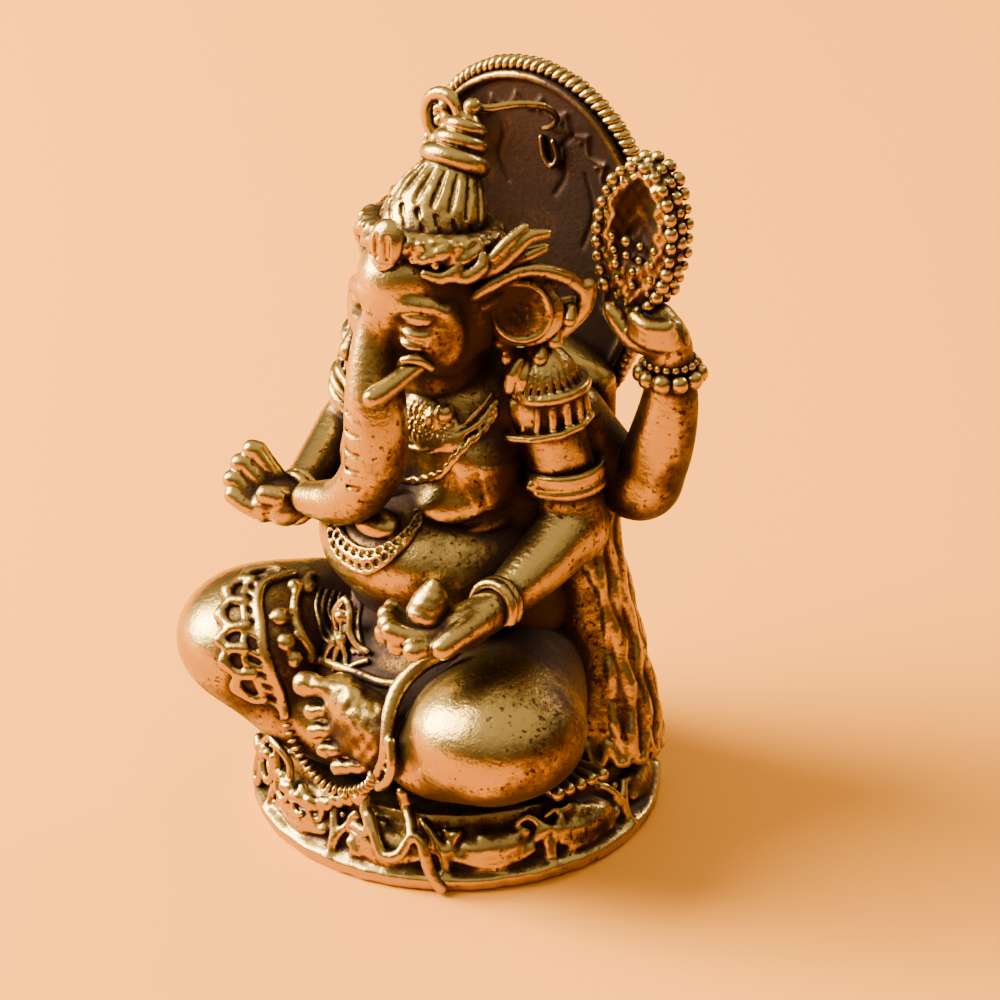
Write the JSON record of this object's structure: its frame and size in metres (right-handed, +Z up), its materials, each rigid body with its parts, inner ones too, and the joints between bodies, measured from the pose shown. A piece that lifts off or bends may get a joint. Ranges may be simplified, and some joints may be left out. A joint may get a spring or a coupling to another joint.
{
  "type": "hindu deity statue",
  "caption": "Small antiqued brass figure of a seated elephant-headed deity with four arms, on a round lotus plinth in front of an arched back plate.",
  "frame": {"origin": "middle of the plinth's flat underside", "axes": "+Z up, the figure faces -Y, its left hand is towards +X"},
  "size_m": [0.0308, 0.027, 0.0487],
  "materials": {
    "polished_brass": "cast, hand-rubbed to a soft shine, brown patina in hollows",
    "ornament_brass": "cast relief with bright rubbed edges over dark patina",
    "dark_brass": "cast, dark antique patina with rubbed high spots"
  },
  "bodies": {
    "root": {"base_plinth": "polished_brass", "lotus_petals": "ornament_brass", "base_fringe": "ornament_brass", "back_drape": "dark_brass", "arch_panel": "dark_brass", "arch_rim": "ornament_brass", "belly": "polished_brass", "chest": "polished_brass", "waist_cloth": "dark_brass", "left_leg": "polished_brass", "right_leg": "polished_brass", "left_foot": "polished_brass", "right_foot": "polished_brass", "head": "polished_brass", "trunk": "ornament_brass", "left_tusk": "ornament_brass", "right_tusk": "ornament_brass", "left_ear": "polished_brass", "right_ear": "polished_brass", "left_earring": "ornament_brass", "right_earring": "ornament_brass", "crown_band": "polished_brass", "crown_jewel": "ornament_brass", "crown_scrolls": "ornament_brass", "crown_dome": "ornament_brass", "crown_rings": "ornament_brass", "crown_finial": "ornament_brass", "crown_ribbon": "polished_brass", "front_left_arm": "polished_brass", "front_left_hand": "polished_brass", "front_right_arm": "polished_brass", "front_right_hand": "polished_brass", "sweet": "ornament_brass", "rear_left_arm": "polished_brass", "rear_left_hand": "polished_brass", "rear_right_arm": "polished_brass", "rear_right_hand": "polished_brass", "noose": "ornament_brass", "goad_head": "ornament_brass", "necklaces": "ornament_brass", "belly_garland": "ornament_brass", "epaulets": "ornament_brass", "armlets": "ornament_brass", "wrist_bangles": "ornament_brass", "rear_bracelets": "ornament_brass", "waist_tassel": "ornament_brass", "dhoti_hems": "ornament_brass", "front_ribbon": "ornament_brass"}
  },
  "joints": []
}
